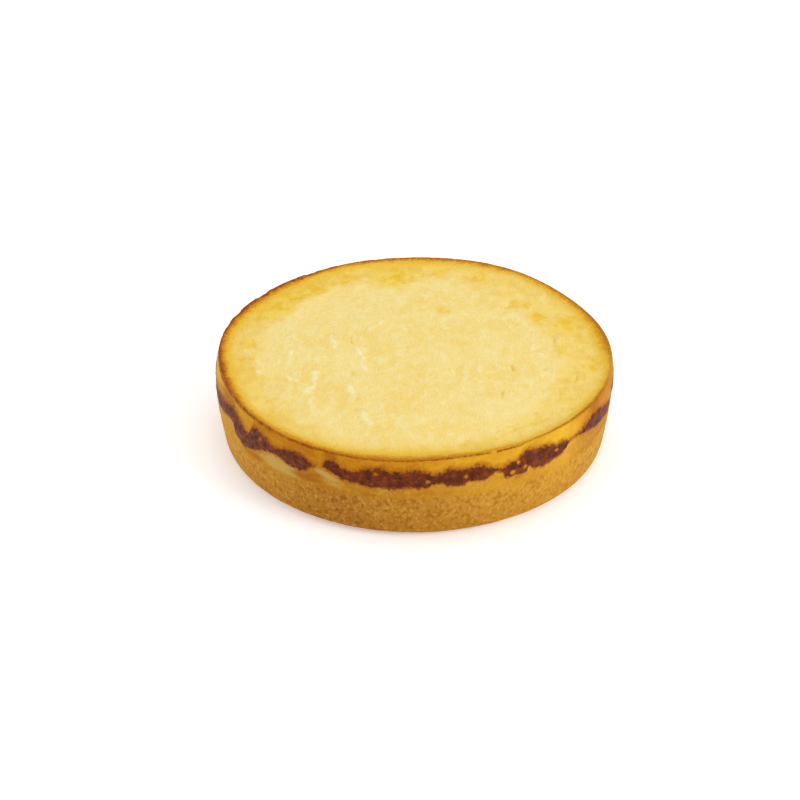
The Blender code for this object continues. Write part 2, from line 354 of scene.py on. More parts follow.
# %% The two edges of the scorch: (azimuth, height of the lower edge, height of the upper edge, in mm)
SCORCH_IN_FRONT = (
    (-80, 14.8, 18.8), (-72, 16.0, 19.3), (-65, 17.3, 20.5), (-62, 17.2, 20.9), (-60.8, 15.2, 20.6),
    (-56, 13.4, 19.2), (-53, 13.8, 18.0), (-52.3, 14.0, 19.4), (-51, 14.1, 20.8), (-47, 15.4, 20.5),
    (-45, 16.1, 20.1), (-42, 16.4, 18.4), (-40.5, 16.3, 18.8), (-36, 15.1, 20.1), (-33, 14.4, 20.1),
    (-31, 15.6, 19.4), (-29, 17.0, 18.8), (-26.3, 18.6, 18.0), (-25.5, 18.5, 19.5), (-24.4, 17.8, 20.8),
    (-22.5, 17.2, 21.2), (-20, 16.0, 19.7), (-16.5, 15.6, 19.1), (-13, 15.0, 20.6), (-8, 15.1, 21.0),
    (-6.6, 14.6, 20.4), (-3, 15.3, 20.2), (-1, 15.4, 20.8), (3, 15.2, 20.3), (4.8, 16.3, 19.4),
    (7.5, 16.7, 19.6), (9, 15.7, 20.4), (13.2, 15.4, 20.2), (14.6, 16.4, 20.1), (17, 16.2, 20.4),
    (19.3, 15.8, 20.1), (22.3, 17.4, 18.8), (24.6, 17.0, 18.6), (25.4, 15.0, 18.9), (29, 14.6, 19.2),
    (31, 14.5, 20.6), (32.4, 14.6, 21.2), (33, 16.4, 21.2), (34.2, 14.8, 21.0), (38, 14.0, 20.5),
    (41.5, 14.7, 20.0), (42.5, 14.9, 19.1), (45, 15.2, 19.5), (48.3, 17.6, 18.4), (50, 18.4, 18.2),
    (53.4, 17.4, 19.2), (58.5, 16.6, 20.6), (62.5, 15.5, 21.0), (68, 15.0, 19.2), (74, 13.6, 17.2),
    (76, 15.0, 16.4),
)
print("the scorch in front is given at", len(SCORCH_IN_FRONT), "azimuths")

# %% Behind, where the solid has its patches: (azimuth, half width, lowest and highest height in mm)
PATCHES_BEHIND = (
    (89, 12, 15.6, 20.4), (113, 11, 14.6, 20.6), (139, 13, 15.4, 20.9), (166, 13, 14.9, 20.3),
    (193, 13, 15.3, 20.8), (219, 11, 14.4, 20.4), (243, 12, 15.2, 20.9), (266, 10, 15.7, 20.5),
)
FRAY = 1.5  # the edges behind wander by this, in mm


def scorch_behind():
    """Rows for the patches behind, with the same wandering edges as those in front."""
    draw = random.Random(7)
    rows = []
    for middle, half_width, low, high in PATCHES_BEHIND:
        centre = (low + high) / 2
        neck = draw.uniform(-0.4, 0.9)  # half the height that joins it to the next, or a gap below 0
        rows.append((middle - half_width, centre - neck, centre + neck))
        for share in (-0.93, -0.75, -0.5, -0.25, 0.0, 0.25, 0.45, 0.7, 0.9):
            pinch = share**4 * draw.uniform(0.2, 1.0) * (high - low) / 2
            lower = low + pinch + draw.uniform(-0.2, FRAY)
            rows.append((middle + half_width * share, lower, high - pinch - draw.uniform(-0.2, FRAY)))
        rows.append((middle + half_width, centre - neck, centre + neck))
    return rows


scorch_at = reader(SCORCH_IN_FRONT + tuple(scorch_behind()))
print("the edges of the scorch at the back:", [round(height, 1) for height in scorch_at(180)], "mm")

# %% Round places inside the scorch that stayed golden: (azimuth, height, radius), in mm
SPARED = (
    (24.3, 15.8, 0.6), (27.8, 15.9, 0.55), (29.5, 18.3, 0.4), (31.6, 16.3, 0.4), (3.6, 17.2, 0.35),
    (-10.4, 19.0, 0.3), (-33.8, 14.9, 0.4), (-47.5, 18.6, 0.3), (14.0, 17.9, 0.3), (42.6, 17.4, 0.35),
)
DEGREE = math.radians(1) * BELLY_RADIUS  # one degree of azimuth, along the side
SPARED_NEAR = 3  # a spared place can only be met within this many degrees


def scorch_margins(azimuth, height):
    """How far a point of the side lies under the scorch's upper edge and over its lower one, in mm."""
    lower, upper = scorch_at(azimuth)
    under = upper - height / MM
    for middle, middle_height, radius in SPARED:
        if abs(azimuth - middle) < SPARED_NEAR:
            away = math.hypot((azimuth - middle) * DEGREE, height - middle_height * MM) / MM
            under = min(under, (away - radius) * 2)
    return under, height / MM - lower


print("scorch margins at the front:", [round(m, 2) for m in scorch_margins(0, 18 * MM)], "mm")

# %% [markdown]
# ## The relief of the skin
# The skin of baked cheese rises in the oven, sinks as it cools, and wrinkles. Three kinds of relief
# give that look: broad swells, short folds that run mostly from front to back on the left, and small
# pits. Each fold is a stroke from one point to another with a rounded ridge along it. Sculpting by
# hand would do too, but strokes by number can be moved and measured.

# %% Swells, shore and rumples of the solid, repeated
SHORE_RADIUS = 41.5 * MM
SHORE_WAVES = ((3.4 * MM, 1, 140), (1.6 * MM, 3, 10), (1.3 * MM, 5, 70), (0.9 * MM, 8, 0))
SHORE_STEP = 0.28 * MM
SHORE_WIDTH = 2.5 * MM
SWELL = 0.30 * MM
SWELL_SIZE = 17.0 * MM
RUMPLE = 0.16 * MM
RUMPLE_SIZE = 6.5 * MM
RUMPLE_SHIFT = Vector((3.1, 7.7, 0))


def shore(azimuth):
    return SHORE_RADIUS + waves(SHORE_WAVES, azimuth)


def broad_relief(point, radius, azimuth):
    step = SHORE_STEP * (1 - ramp(radius, shore(azimuth) - SHORE_WIDTH, shore(azimuth) + SHORE_WIDTH))
    flat = Vector((point.x, point.y, 0))
    swell = SWELL * noise.noise(flat / SWELL_SIZE)
    rumple = RUMPLE * noise.noise(flat / RUMPLE_SIZE + RUMPLE_SHIFT)
    return step + swell + rumple


print("the shore at the front is at", round(shore(0) / MM, 1), "mm from the middle")

# %% Folds and grooves: from (x, y) to (x, y) in mm, width and height in mm
FOLDS = (
    (-24.6, 2, -24.9, -7, 0.9, 0.16), (-24.7, -7, -25.2, -17, 1.0, 0.26),
    (-25.8, -16, -27.0, -19, 1.3, 0.30), (-25.4, -19, -25.0, -26, 1.0, 0.20),
    (-21.4, 9.5, -20.4, 2.5, 0.9, 0.24), (-14.8, 4, -13.0, -4.5, 1.0, 0.26),
    (-13.0, -4.5, -11.0, -9, 1.1, 0.16), (-16.6, -15, -14.8, -21, 1.1, 0.34),
    (-17.8, -8, -17.0, -13, 0.8, 0.14), (-31.0, 3, -31.8, -5, 1.2, 0.20),
    (-30.6, 14, -31.0, 5, 0.9, 0.14), (-43.0, 3, -41.6, -5, 1.1, 0.24),
    (-41.6, -5, -38.8, -11, 1.1, 0.20), (-35.5, 21, -31.0, 23.5, 0.8, 0.16),
    (-33.5, -10, -29.5, -14, 1.3, 0.18), (-12.4, 11, -7.6, 18, 0.8, 0.18),
    (-4.8, 13, -1.4, 16.5, 0.7, 0.14), (-12.8, -27, -10.8, -33.5, 1.1, 0.30),
    (-10.6, -33, -6.0, -30.5, 1.2, 0.20), (-10.0, -29, -7.0, -29, 1.3, 0.16),
    (17.5, -3, 15.2, -13, 1.5, 0.14), (21.4, -20, 20.4, -25, 0.9, 0.16),
    (8.0, 36, 10.5, 41, 1.1, 0.16), (36.8, 4, 38.4, 12, 1.0, 0.22),
    (42.0, -3, 41.0, -9, 0.9, 0.16), (31.5, 1.5, 33.0, -1, 0.7, 0.18),
    (40.6, -13, 41.2, -7, 0.6, -0.26), (35.6, 3, 36.4, 12, 0.7, -0.20),
    (26.0, 15, 28.0, 17, 0.7, -0.18), (22.2, -16, 21.6, -22, 0.5, -0.20),
    (25.3, -4, 25.0, -7.5, 0.6, -0.22), (20.0, -38, 36.0, -26, 0.9, -0.12),
    (-32.2, 14, -32.4, 6, 0.8, -0.12), (-16.1, 9, -15.8, 5, 0.6, -0.20),
    (-15.9, -7, -15.2, -10.5, 0.6, -0.16), (-14.6, -18, -13.6, -22, 0.7, -0.14),
    (-29.0, -16, -24.0, -13.5, 0.7, -0.14), (-44.5, 4, -43.4, -4, 0.9, -0.14),
    (-14.2, -25, -13.0, -33, 0.7, -0.12), (23.5, 24, 26.0, 26, 0.6, -0.18),
)
print(len(FOLDS), "folds; the tallest is", max(fold[-1] for fold in FOLDS), "mm high")

# %% A fold fades at its ends, wanders and is broken up
FOLD_OVERRUN = 0.2  # it runs on past its ends by this share of its length
FOLD_FADE = 0.5  # and fades in and out over this share
FOLD_SHARPNESS = 1.6
FOLD_WANDER = 1.1  # it leaves its straight line by about this, in mm
WANDER_SIZE = 3.6 * MM
BREAK_SIZE = 1.7 * MM  # it is broken up into pieces of about this length
FOLD_LIFT = 1.4  # makes up for what the breaks take away


def fold_relief(point):
    """Height of the folds over the smooth skin, in metres."""
    x = point.x / MM + FOLD_WANDER * noise.noise(point / WANDER_SIZE)
    y = point.y / MM
    height = 0.0
    for x1, y1, x2, y2, width, size in FOLDS:
        along_x, along_y = x2 - x1, y2 - y1
        length = math.hypot(along_x, along_y)
        along = ((x - x1) * along_x + (y - y1) * along_y) / length**2
        start, end = along + FOLD_OVERRUN, 1 - along + FOLD_OVERRUN
        if min(start, end) > 0:
            aside = ((x - x1) * along_y - (y - y1) * along_x) / length
            if abs(aside) < 2 * width:
                ends = ramp(start, 0, FOLD_FADE) * ramp(end, 0, FOLD_FADE)
                height += size * ends * math.exp(-((aside / width) ** 2) * FOLD_SHARPNESS)
    broken = 0.5 + 0.5 * ramp(noise.noise(Vector((point.x, point.y, 0)) / BREAK_SIZE), -0.25, 0.3)
    return height * broken * FOLD_LIFT * MM


sample = fold_relief(Vector((-24.7, -7, 0)) * MM)
print("relief where the first fold meets the second:", round(sample / MM, 3), "mm")

# %% Fine wrinkles and pits
WRINKLE = 0.15 * MM
WRINKLE_SIZE = Vector((3.0, 8.0, 1)) * MM  # they run from front to back
WRINKLED = Vector((-22, -2, 0)) * MM  # the middle of the wrinkled part of the skin
WRINKLED_RADIUS = 27 * MM
WRINKLED_LEAST = 0.15  # the rest of the skin has this share of the wrinkles
STREAK = 0.06 * MM
STREAK_SIZE = Vector((7.5, 1.6, 1)) * MM  # they run from side to side, towards the front
PIT = 0.16 * MM
PIT_SIZE = 1.9 * MM
CURD = 0.09 * MM
CURD_SIZE = 2.4 * MM
GRAIN = 0.05 * MM
GRAIN_SIZE = 0.8 * MM
WARP = 2.2 * MM  # wrinkles leave their direction by this
WARP_SIZE = 7.0 * MM
SPARSE = (0.34, 0.62)  # noise makes a pit or a hole only where it rises through these values
noise.seed_set(7)  # unseeded, noise_vector gives other values at each run


def fine_relief(point):
    """Wrinkles on the left, streaks towards the front, pits on the right, and curd everywhere."""
    flat = Vector((point.x, point.y, 0))
    warped = flat + WARP * noise.noise_vector(flat / WARP_SIZE)
    away = ramp((flat - WRINKLED).length, WRINKLED_RADIUS * 0.4, WRINKLED_RADIUS)
    near_wrinkles = WRINKLED_LEAST + (1 - WRINKLED_LEAST) * (1 - away)
    crease = 1 - abs(noise.noise(Vector((warped.x / WRINKLE_SIZE.x, warped.y / WRINKLE_SIZE.y, 0)))) * 2.5
    wrinkle = WRINKLE * near_wrinkles * max(0.0, crease) ** 2
    bands = noise.noise(Vector((warped.x / STREAK_SIZE.x, warped.y / STREAK_SIZE.y, 4)))
    streak = STREAK * ramp(-point.y, -10 * MM, 20 * MM) * bands
    dimple = ramp(noise.noise(flat / PIT_SIZE), *SPARSE)
    pit = -PIT * dimple * (0.2 + 0.8 * ramp(point.x, 15 * MM, 35 * MM))
    curd = CURD * noise.noise(flat / CURD_SIZE) + GRAIN * noise.noise(flat / GRAIN_SIZE)
    return wrinkle + streak + pit + curd


print("grain of the skin:", GRAIN_SIZE / MM, "mm wide and", GRAIN / MM, "mm high")

# %% [markdown]
# ## Where the skin is golden
# Towards the rim the skin took colour, most of all at the back on the left. The golden zone is kept as
# the distance inside its wavy inner shore, in mm, and the finish turns that into colour. Round spots
# are added where a bubble browned.

# %% The golden zone and its spots: (x, y, radius, strength), in mm and from 0 to 1
GOLDEN_SPOTS = (
    (7.7, 22.4, 1.6, 0.9), (-42.4, 5.0, 1.6, 0.9), (31.8, 18.9, 2.4, 0.6), (-38.4, 24.5, 4.0, 0.5),
    (7.0, 43.5, 2.0, 0.5), (39.8, 16.0, 3.0, 0.6), (37.0, 1.5, 2.6, 0.3), (26.6, 26.4, 1.4, 0.5),
    (29.4, 26.0, 1.2, 0.5), (17.5, 40.0, 2.0, 0.6), (-29.6, 33.5, 3.4, 0.5), (-5.5, 39.5, 3.6, 0.5),
    (-17.0, 38.5, 2.4, 0.5), (-34.0, -14.0, 2.8, 0.2), (45.5, -4.0, 3.6, 0.35), (13.0, 2.0, 3.2, 0.15),
)
SPOT_SOFTNESS = 0.8  # share of a spot's radius over which it fades


def golden_zone(point, radius, azimuth):
    """How golden the zone is, how far a point lies inside it in mm, and how golden a spot makes it."""
    reach, strength = golden_at(azimuth)
    spot = 0.0
    for x, y, size, spot_strength in GOLDEN_SPOTS:
        away = math.hypot(point.x / MM - x, (point.y / MM - y) * 0.8)
        fade = 1 - ramp(away, size * (1 - SPOT_SOFTNESS), size * (1 + SPOT_SOFTNESS))
        spot = max(spot, spot_strength * fade)
    return strength, reach - (RIM_RADIUS - radius) / MM, spot


print("golden zone at the back on the left:", golden_at(-125))

# %% [markdown]
# ## The side of the cheese
# Under the rim runs a smooth caramel band, then the scorch, which stands a little proud and is rough
# with small blisters. Below it the cheese is pale where it touched the tin late and toasted where fat
# ran down, and it meets the pastry.

# %% Pale and toasted places on the side
# (azimuth, height in mm, half width in degrees, half height in mm, slant in mm per degree, strength)
PALE_PLACES = (
    (-40.5, 13.9, 8.0, 2.6, -0.10, 1.0), (-24.0, 16.0, 5.0, 1.0, -0.27, 1.0),
    (-22.5, 14.3, 4.5, 1.2, -0.1, 0.6), (-8.3, 14.5, 2.4, 0.8, 0, 0.5), (-64.0, 16.0, 3.5, 1.5, -0.1, 0.35),
    (18.0, 15.0, 4.5, 0.8, -0.05, 0.3), (101, 16.0, 4.0, 1.6, 0.1, 0.6), (152, 15.4, 5.0, 1.5, -0.1, 0.7),
    (-128, 15.2, 4.0, 1.6, 0.1, 0.7),
)
TOASTED_PLACES = (
    (-30.5, 13.7, 6.0, 1.1, 0.03, 1.0), (-28.6, 14.9, 3.6, 1.1, 0.12, 0.8),
    (-11.5, 12.7, 4.0, 0.6, -0.12, 0.7), (-51.5, 12.7, 5.5, 1.4, -0.03, 0.8),
    (-55.5, 13.2, 2.6, 1.2, -0.3, 0.7), (61.5, 22.0, 6.0, 1.8, -0.05, 0.7), (50.5, 18.3, 3.6, 0.9, 0, 0.8),
    (-46.5, 21.5, 5.0, 1.3, 0, 0.5), (-31.0, 21.3, 5.0, 1.2, -0.1, 0.5),
    (-23.5, 22.0, 2.6, 1.5, 0, 0.8), (6.0, 14.0, 7.0, 1.1, 0, 0.4), (30.0, 13.8, 4.0, 0.8, 0, 0.4),
    (-68.0, 20.9, 9.0, 1.5, 0.05, 0.8), (-72.0, 22.4, 12.0, 0.9, 0, 0.9), (-38.5, 12.0, 3.0, 0.5, 0, 0.4),
    (90, 21.4, 8.0, 1.5, 0.05, 0.7), (175, 21.0, 10.0, 1.3, 0, 0.6), (-135, 21.6, 12.0, 1.3, 0.03, 0.7),
    (-60.0, 21.9, 4.0, 0.8, 0.1, 0.3), (35.5, 10.0, 2.2, 1.3, 0, 0.35), (74.0, 21.8, 9.0, 1.6, 0, 0.4),
)


def patch(places, azimuth, height):
    """The strength of a place in its middle, 0 outside all of them."""
    strongest = 0.0
    for middle, middle_height, half_width, half_height, slant, strength in places:
        turn = (azimuth - middle + 180) % 360 - 180
        if abs(turn) < 2 * half_width:
            rise = height / MM - middle_height - slant * turn
            out = math.hypot(turn / half_width, rise / half_height)
            strongest = max(strongest, strength * (1 - ramp(out, 0.2, 1.4)))
    return strongest


print(len(PALE_PLACES), "pale and", len(TOASTED_PLACES), "toasted places")

# %% Relief of the side and of the rim
SCORCH_RELIEF = 0.12 * MM
BLISTER = 0.07 * MM
BLISTER_SIZE = 0.8 * MM
BAND_RELIEF = 0.05 * MM
BAND_SIZE = 3.5 * MM
RIM_EDGE = 0.10 * MM  # the browned rim is rounded off by this much
RIM_CRUMB = 0.28 * MM
RIM_CRUMB_SIZE = 0.9 * MM
RIM_LUMP = 0.30 * MM  # the dips between the lumps of the darkest part of the rim
RIM_LUMP_SIZE = 3.0 * MM


def side_relief(point, azimuth):
    """How far the side stands out over the smooth turned form."""
    ragged = 0.3 * noise.noise(point / RIM_CRUMB_SIZE)
    burnt = ramp(min(scorch_margins(azimuth, point.z)) + ragged, -0.1, 0.5)
    blister = BLISTER * noise.noise(point / BLISTER_SIZE)
    band = BAND_RELIEF * noise.noise(point / BAND_SIZE)
    return burnt * (SCORCH_RELIEF + blister) + band


def rim_drop(point, azimuth):
    """The burnt rim is broken up finely, and lumpy where it is darkest: how far it sinks at a point."""
    browning = browning_at(azimuth)[0]
    rough = min(0.7, max(0.15, browning - 0.35))
    crumb = RIM_CRUMB * rough * (0.5 + 0.5 * noise.noise(point / RIM_CRUMB_SIZE))
    dip = ramp(noise.noise(point / RIM_LUMP_SIZE), -0.15, 0.35)
    return crumb + RIM_LUMP * dip * ramp(browning, 0.9, 1.2)


print("scorched patches stand proud by", SCORCH_RELIEF / MM, "mm")

# %% The dark line just under the rim
# (azimuth, how far below the rim it runs in mm, how dark it is from 0 to 1, half its width in mm);
# where it runs on the skin instead of the side, the distance is less than 0
line_at = reader((
    (-180, 0.0, 0.3, 0.3), (-150, 0.0, 0.4, 0.35), (-122, 0.1, 0.8, 0.5), (-90, 0.3, 0.9, 0.6),
    (-68, 0.4, 1.0, 0.6), (-60, 0.45, 1.0, 0.55), (-44, 0.5, 0.95, 0.45), (-41.5, 0.5, 0.6, 0.36),
    (-37, 0.5, 0.85, 0.36), (-29, 0.4, 0.9, 0.36), (-26, 0.2, 0.8, 0.32), (-10, 0.0, 0.7, 0.28),
    (2, -0.1, 0.85, 0.34), (12, 0.15, 0.85, 0.3), (21, 0.4, 0.85, 0.3), (21.6, 0.4, 0.0, 0.26),
    (22.6, 0.45, 0.0, 0.26), (23.2, 0.45, 0.9, 0.28), (30.5, 0.35, 0.9, 0.28), (32.5, 0.0, 0.5, 0.26),
    (37, -0.9, 0.55, 0.38), (45, -1.2, 0.6, 0.42), (54, -0.9, 0.6, 0.45), (64, -0.3, 0.45, 0.6),
    (80, -0.2, 0.15, 0.4), (100, -0.4, 0.3, 0.45), (140, 0.0, 0.2, 0.35),
))


def line_marks(azimuth, below_rim):
    """How far a point is from the line in half widths of it, and how dark the line is there."""
    depth, strength, half_width = line_at(azimuth)
    return (depth - below_rim) / half_width, strength


print("the line at the front runs", line_at(0)[0], "mm below the rim")

# %% [markdown]
# ## The piece of cheese
# The profile goes from the middle of the case's floor outwards, up inside the pastry, past the lip, up
# the side, over the rim and in to the middle of the top. What is hidden has few rings and few points,
# and what shows has rings about 0.3 mm apart.

# %% The half section of the cheese
FULL_RING = 1024  # points in a ring at the rim, about 0.3 mm apart
SIDE_STEP = 0.29 * MM
SKIN_STEPS = ((50.0, 0.34, 1024), (42.0, 0.42, 512), (21.0, 0.46, 256), (10.5, 0.5, 128), (5.0, 0.6, 64))
CENTRE_HOLE = 0.8 * MM  # the last ring round the middle of the top
TUCKED = 1.1 * MM  # the finely divided side starts this far below the lip
SIDE_BUILD_UP = 1.2 * MM  # the relief of the side has its full height this far above the edge


def cheese_profile():
    floor_z = FLOOR_THICKNESS + HAIR
    corner_r = seam_radius(FLOOR_THICKNESS + FLOOR_CORNER) - FLOOR_CORNER - HAIR
    hidden = [(radius * MM, floor_z, 64) for radius in (3, 16, 32)]
    for turn in between(math.pi / 2, 0, 5):
        radius = corner_r + FLOOR_CORNER * math.cos(turn)
        hidden.append((radius, floor_z + FLOOR_CORNER * (1 - math.sin(turn)), 64))
    top_of_corner = FLOOR_THICKNESS + FLOOR_CORNER
    heights = between(top_of_corner, LIP_HEIGHT - TUCKED, 7)[1:-1]
    for height, count in zip(heights, (64, 128, 256, 512, 1024)):
        hidden.append((seam_radius(height) - HAIR, height, count))
    rings = round((RIM_HEIGHT - LIP_HEIGHT + TUCKED) / SIDE_STEP)
    heights = between(LIP_HEIGHT - TUCKED, RIM_HEIGHT - RIM_EDGE, rings)
    side = [(seam_radius(height) - HAIR, height, FULL_RING) for height in heights]
    return hidden + side + skin_profile()


def skin_profile():
    skin = []
    limits = [start for start, _, _ in SKIN_STEPS[1:]] + [CENTRE_HOLE / MM]
    for (start, step, count), limit in zip(SKIN_STEPS, limits):
        radius = start
        while radius > limit:
            skin.append((radius * MM, skin_height(radius * MM), count))
            radius -= step
    skin[0] = (RIM_RADIUS - SIDE_INSET - RIM_EDGE, RIM_HEIGHT, FULL_RING)
    return skin


print(len(cheese_profile()), "rings in the cheese")

# %% A point of the skin gets its relief and its marks
# To the finish, the skin lies 3 mm outside the scorch and has none of the patches of the side.
ON_THE_SKIN = {"under_scorch_top": -3.0, "over_scorch_foot": -3.0, "pale": 0.0, "toasted": 0.0}


def skin_point(point, radius, azimuth):
    inside_rim = 1 - ramp(radius, RIM_RADIUS - SINK_WIDTH, RIM_RADIUS)
    fold = fold_relief(point)
    fine = fine_relief(point)
    fade = ramp(RIM_RADIUS - radius, 0, 3 * MM)
    drop = rim_drop(point, azimuth) * (1 - ramp(RIM_RADIUS - radius, 0.2 * MM, 1.6 * MM))
    lift = inside_rim * broad_relief(point, radius, azimuth) + (fold + fine) * fade - drop
    inward = (RIM_RADIUS - SIDE_INSET - radius) / MM
    noted = dict(ON_THE_SKIN, inward=inward, raised=(fold + 0.5 * fine) * fade / MM)
    noted["golden"], noted["golden_depth"], noted["golden_spot"] = golden_zone(point, radius, azimuth)
    noted["over_line"], noted["line"] = line_marks(azimuth, -inward)
    return point + Vector((0, 0, lift)), noted


print("marks of the skin that don't change:", ON_THE_SKIN)

# %% A point of the side gets its relief and its marks
ON_THE_SIDE = {"raised": 0.0, "golden": 0.0, "golden_depth": 0.0, "golden_spot": 0.0}


def side_point(point, radius, azimuth):
    edge = edge_height(azimuth)
    outward = side_relief(point, azimuth) * ramp(RIM_HEIGHT - point.z, 0, 1 * MM)
    outward *= ramp(point.z - edge, 0, SIDE_BUILD_UP)
    drop = rim_drop(point, azimuth) * ramp(point.z, RIM_HEIGHT - 1.2 * MM, RIM_HEIGHT)
    below_rim = (RIM_HEIGHT - point.z) / MM
    spread = 1.0
    if point.z > FLOOR_THICKNESS + FLOOR_CORNER + 2 * HAIR:
        spread = (seam_radius(point.z, edge) + outward) / radius
    noted = dict(ON_THE_SIDE, inward=-below_rim)
    noted["under_scorch_top"], noted["over_scorch_foot"] = scorch_margins(azimuth, point.z)
    noted["pale"] = patch(PALE_PLACES, azimuth, point.z)
    noted["toasted"] = patch(TOASTED_PLACES, azimuth, point.z)
    noted["over_line"], noted["line"] = line_marks(azimuth, below_rim)
    return Vector((point.x * spread, point.y * spread, point.z - drop)), noted


print("marks of the side that don't change:", ON_THE_SIDE)

# %% Make the piece
def cheese_point(point):
    radius = math.hypot(point.x, point.y)
    azimuth = azimuth_of(point)
    on_skin = point.z > BELLY_HEIGHT and radius < RIM_RADIUS - SIDE_INSET - RIM_EDGE / 2
    finished = skin_point if on_skin else side_point
    place, noted = finished(point, radius, azimuth)
    noted["browning"], noted["reach"] = browning_at(azimuth)
    # The side's tone is partly painted light and shade; the last value is the scorch's painted sheen
    noted["tone"], _, _, noted["ash"] = tone_and_painted_light_at(azimuth)
    return settle(place), noted


cheese = turned("baked_cheese", cheese_profile(), cheese_point)

# %% [markdown]
# ## The pastry
# Shortcrust is sand held by butter: grains about a millimetre across, pressed flat by the tin, with
# small holes where one fell out. The grains are cells of a Voronoi pattern. A bump map alone would
# leave the outline smooth, so the grains are in the mesh, and they only go inwards from the turned
# form, which keeps the size.

# %% Relief of the pastry
CRUMB_SIZE = 1.05 * MM
CRUMB = 0.06 * MM
CRUMB_LUMP_SIZE = 4.5 * MM
CRUMB_LUMP = 0.12 * MM
CRUMB_HOLE = 0.06 * MM
CRUMB_HOLE_SIZE = 1.6 * MM


def crumb_relief(point):
    """(depth below the turned form, how much of it is a hole or a joint from 0 to 1)."""
    near, second = noise.voronoi(point / CRUMB_SIZE)[0][:2]
    joint = 1 - min(1.0, (second - near) * 2.2)
    lump = 0.5 + 0.5 * noise.noise(point / CRUMB_LUMP_SIZE)
    hole = ramp(noise.noise(point / CRUMB_HOLE_SIZE), *SPARSE)
    depth = CRUMB * joint + CRUMB_LUMP * (1 - lump) + CRUMB_HOLE * hole
    return depth, max(hole, 0.5 * joint)


sample = crumb_relief(Vector((0, -HEEL_RADIUS, HEEL_HEIGHT)))[0]
print("depth of the pastry's grain at one point:", round(sample / MM, 3), "mm")

# %% The half section of the pastry
WALL_STEP = 0.34 * MM
HEEL_RINGS = 17
UNDER_STEPS = ((45.8, 0.62, 512), (23.0, 0.7, 256), (11.0, 0.8, 128), (5.0, 1.0, 64))
EDGE_ZONE = 1.4 * MM  # from here up to the lip the crumb fades out
EDGE_SMOOTH = 0.5 * MM  # so far below the lip it has faded out
EDGE_STEPS = (0.8, 0.6, 0.45, 0.3, 0.15, 0.0)  # rings near the lip, in mm below it
DIP = 0.08 * MM  # the pastry's edge dips this far into the cheese
CREST = 0.1 * MM  # a last ring above the lip, hidden in the cheese
CREST_DEPTH = 0.35 * MM


def pastry_profile():
    underside = []
    limits = [start for start, _, _ in UNDER_STEPS[1:]] + [CENTRE_HOLE / MM]
    for (start, step, count), limit in zip(UNDER_STEPS, limits):
        radius = start
        while radius > limit:
            underside.append((radius * MM, 0, count))
            radius -= step
    width = HEEL_RADIUS - FOOT_RADIUS
    heel = []
    for turn in between(0, math.pi / 2, HEEL_RINGS)[1:]:
        radius = FOOT_RADIUS + width * math.sin(turn)
        heel.append((radius, HEEL_HEIGHT * (1 - math.cos(turn)), FULL_RING))
    rings = round((LIP_HEIGHT - HEEL_HEIGHT) / WALL_STEP)
    heights = [z for z in between(HEEL_HEIGHT, LIP_HEIGHT, rings)[1:] if z < LIP_HEIGHT - 1 * MM]
    heights += [LIP_HEIGHT - step * MM for step in EDGE_STEPS]
    wall = [(wall_radius(z), z, FULL_RING) for z in heights]
    crest_height = LIP_HEIGHT + CREST
    crest = [(wall_radius(crest_height) - CREST_DEPTH, crest_height, FULL_RING)]
    return underside[::-1] + heel + wall + crest + pastry_inside()


def pastry_inside():
    """Down behind the cheese to the middle of the case's floor, with ever fewer points."""
    inside = []
    top_of_corner = FLOOR_THICKNESS + FLOOR_CORNER
    heights = between(LIP_HEIGHT - THINNED / 2, top_of_corner, 8)[:-1]
    for height, count in zip(heights, (1024, 1024, 1024, 512, 256, 128, 64)):
        inside.append((seam_radius(height) + HAIR, height, count))
    corner_r = seam_radius(top_of_corner) - FLOOR_CORNER + HAIR
    for turn in between(0, math.pi / 2, 5):
        radius = corner_r + FLOOR_CORNER * math.cos(turn)
        inside.append((radius, top_of_corner - FLOOR_CORNER * math.sin(turn) - HAIR, 64))
    return inside + [(radius * MM, FLOOR_THICKNESS - HAIR, 64) for radius in (32, 16, 3)]


print(len(pastry_profile()), "rings in the pastry")

# %% Each point of the pastry gets its crumb and its marks
RAGGED_ZONE = 2.4 * MM  # the pastry follows its ragged edge within this distance of the lip


def on_outer_face(point, radius):
    if point.z < HEEL_HEIGHT:
        return point.z <= 0 or radius > FOOT_RADIUS
    return radius > wall_radius(point.z) - SIDE_INSET / 2


def crust_depth(point, under):
    """How far the outer face lies inside the turned form, and how hollow the crumb is there."""
    depth, hollow = crumb_relief(point)
    at_edge = ramp(point.z, LIP_HEIGHT - EDGE_ZONE, LIP_HEIGHT - EDGE_SMOOTH)
    dip = DIP * max(0.0, 1 - (LIP_HEIGHT - point.z) / EDGE_STEPS[1] / MM) ** 3
    return depth * (1 - at_edge) * (1 - under) + SIDE_INSET * at_edge + dip, depth * under, hollow


def pastry_point(point):
    radius = math.hypot(point.x, point.y)
    azimuth = azimuth_of(point)
    # The side's tone is partly painted light; the pastry's lightness is painted light and shade
    side_tone_and_light, crust_tone, film_foot, _ = tone_and_painted_light_at(azimuth)
    below_lip = (LIP_HEIGHT - point.z) / MM
    inward, upward, hollow = 0.0, 0.0, 0.0
    if on_outer_face(point, radius):
        inward, upward, hollow = crust_depth(point, 1 - ramp(point.z, 0, HEEL_HEIGHT))
    raise_by = edge_height(azimuth) - LIP_HEIGHT
    raise_by *= ramp(point.z, LIP_HEIGHT - RAGGED_ZONE, LIP_HEIGHT - EDGE_SMOOTH)
    height = point.z + raise_by
    outward = -inward
    if raise_by:
        outward += wall_radius(height) - wall_radius(point.z)
    spread = 1 + outward / radius
    noted = {
        "below_lip": below_lip,
        "film_depth": below_lip - film_foot,
        "tone": side_tone_and_light,
        "crust_tone": crust_tone,
        "pale": patch(PALE_PLACES, azimuth, height),
        "toasted": patch(TOASTED_PLACES, azimuth, height),
        "hollow": hollow,
    }
    return settle(Vector((point.x * spread, point.y * spread, height + upward))), noted


